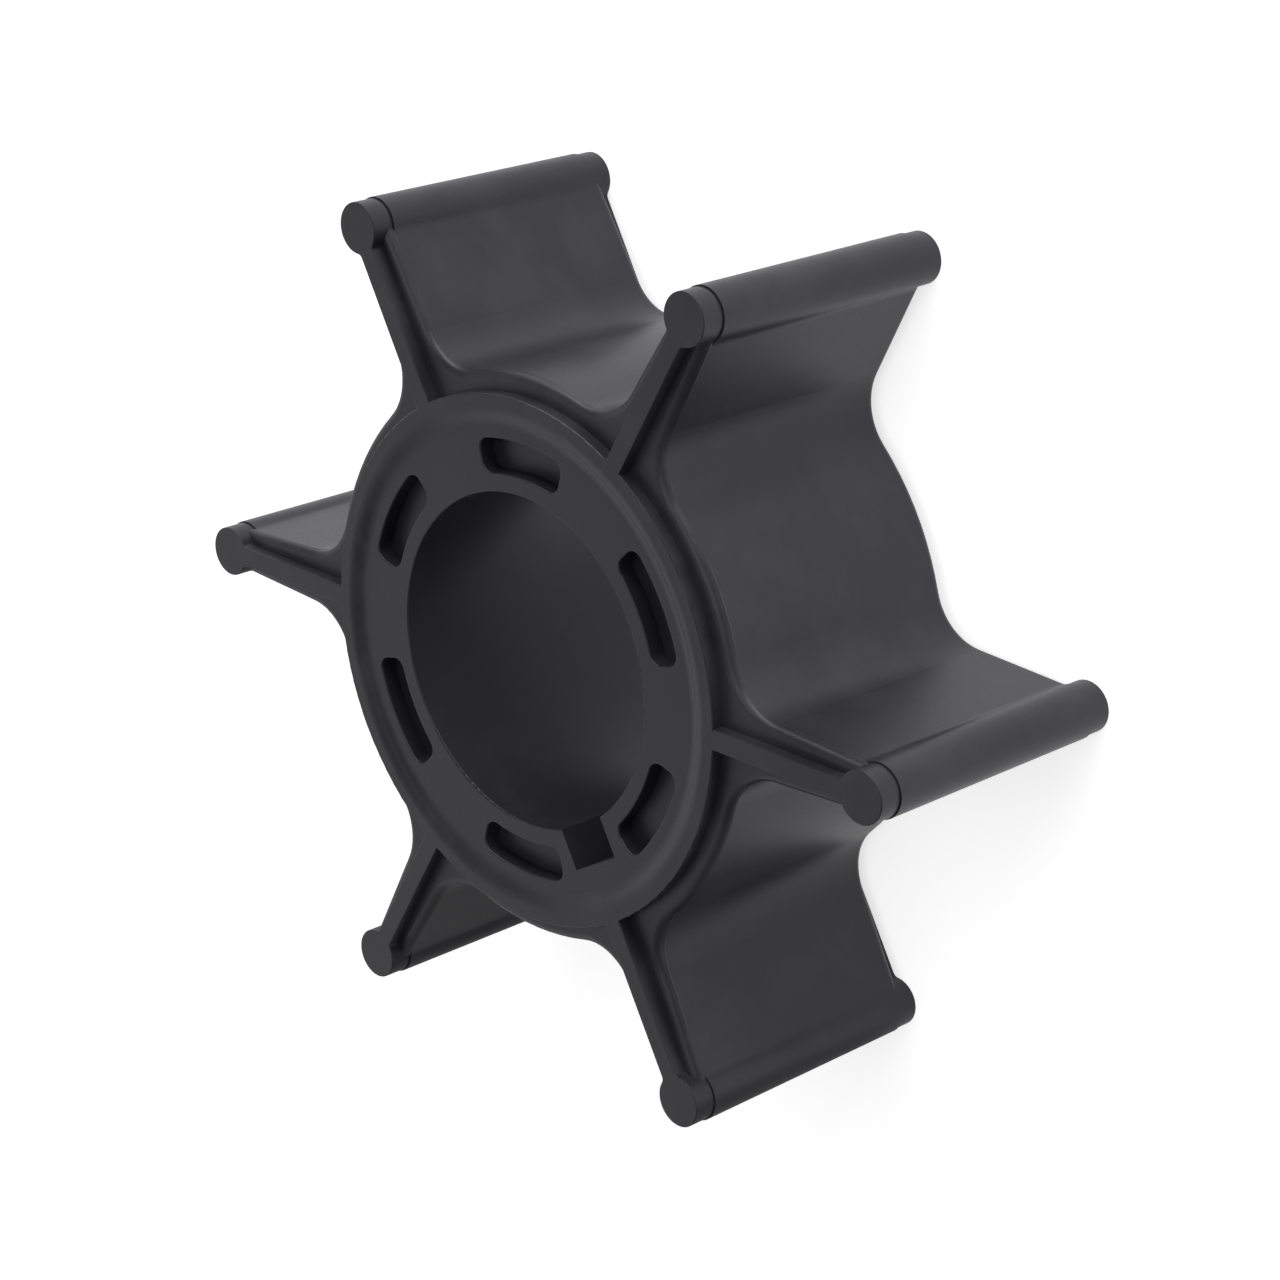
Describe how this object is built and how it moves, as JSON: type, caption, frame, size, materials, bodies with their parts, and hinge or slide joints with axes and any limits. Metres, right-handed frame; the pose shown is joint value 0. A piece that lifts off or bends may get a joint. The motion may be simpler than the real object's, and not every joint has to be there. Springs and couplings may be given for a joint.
{
  "type": "rubber pump impeller",
  "caption": "Flexible water pump impeller: straight beaded rubber vanes moulded round a rigid keyed drive hub with shallow pockets in its front face.",
  "frame": {"origin": "on the shaft axis, in the plane of the back end of the vanes", "axes": "+Z along the shaft axis towards the front end with the pockets; the keyed vane points along -Y"},
  "size_m": [0.063, 0.072, 0.0238],
  "materials": {
    "vane_rubber": "satin moulded rubber, charcoal black",
    "hub_plastic": "fine matt moulded plastic, charcoal black"
  },
  "bodies": {
    "root": {"rubber_vane_body": "vane_rubber", "drive_hub": "hub_plastic"}
  },
  "joints": []
}
